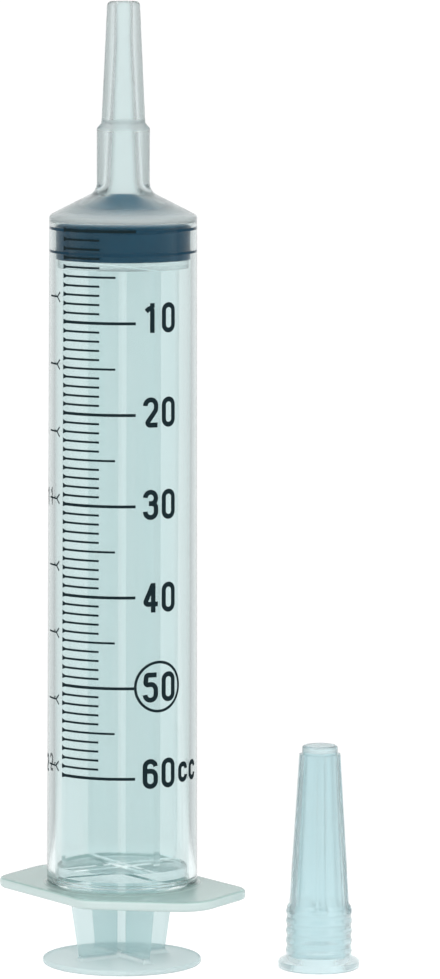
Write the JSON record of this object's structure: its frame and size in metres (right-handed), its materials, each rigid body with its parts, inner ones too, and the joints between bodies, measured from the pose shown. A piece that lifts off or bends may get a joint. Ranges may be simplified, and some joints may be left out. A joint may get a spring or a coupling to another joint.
{
  "type": "catheter tip syringe",
  "caption": "Large clear catheter tip syringe with a printed volume scale, finger flange, ribbed plunger rod and rubber stopper, and its fluted tip cap standing beside it.",
  "frame": {"origin": "on the syringe's axis at the underside of the thumb disc, where it stands", "axes": "+Z along the syringe's axis up to the tip, -Y to the side that carries the printed scale, +X towards the tip cap that stands beside it"},
  "size_m": [0.0714, 0.0448, 0.1902],
  "materials": {
    "barrel_plastic": "clear, slightly milky and blue-grey, smooth",
    "rod_plastic": "translucent, milky, satin",
    "cap_plastic": "translucent, milky, satin",
    "stopper_rubber": "dark blue-grey, smooth, slightly glossy where it is wetted",
    "scale_ink": "dark printed ink on the barrel"
  },
  "bodies": {
    "plunger": {"plunger_rod": "rod_plastic", "tip_cap": "cap_plastic"},
    "stopper": {"stopper": "stopper_rubber"},
    "barrel": {"barrel": "barrel_plastic"}
  },
  "joints": [
    {"name": "stopper_swivel", "type": "hinge", "parent": "plunger", "child": "stopper", "pos_m": [0, 0, 0.1421], "axis": [0, 0, 1], "continuous": true},
    {"name": "barrel_slide", "type": "slide", "parent": "stopper", "child": "barrel", "axis": [0, 0, 1], "range_m": [-0.001, 0.122]}
  ]
}
